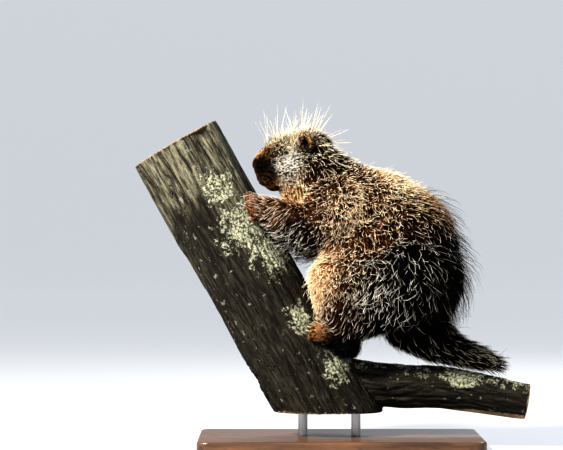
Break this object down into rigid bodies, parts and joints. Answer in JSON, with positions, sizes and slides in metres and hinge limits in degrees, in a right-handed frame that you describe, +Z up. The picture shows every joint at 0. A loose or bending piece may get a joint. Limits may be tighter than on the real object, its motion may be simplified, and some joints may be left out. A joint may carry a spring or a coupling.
{
  "type": "porcupine specimen on a perch",
  "caption": "Life-size still North American porcupine climbing a cut forked limb, long bristly coat over quills, on a plain flat stand.",
  "frame": {"origin": "middle of the underside of the stand's base", "axes": "+Z up; the animal faces -X and its left side is towards -Y"},
  "size_m": [0.672, 0.3, 0.5858],
  "materials": {
    "base_board": "satin dark stain",
    "steel_rod": "brushed",
    "bark": "rough bark, weathered",
    "coat": "long coarse fur over quills, matte",
    "tail_coat": "stiff bristles and quills, matte",
    "paw_fur": "short fur, pale horn claws",
    "ear_skin": "short fur, matte",
    "eye": "wet gloss"
  },
  "bodies": {
    "root": {"stand_base": "base_board", "stand_rod_1": "steel_rod", "stand_rod_2": "steel_rod", "perch_limb": "bark", "head": "coat", "neck": "coat", "torso": "coat", "tail": "tail_coat", "foreleg_left": "coat", "foreleg_right": "coat", "hindleg_left": "coat", "hindleg_right": "coat", "forepaw_left": "paw_fur", "forepaw_right": "paw_fur", "hindpaw_left": "paw_fur", "hindpaw_right": "paw_fur", "ear_left": "ear_skin", "ear_right": "ear_skin", "eye_left": "eye", "eye_right": "eye"}
  },
  "joints": []
}
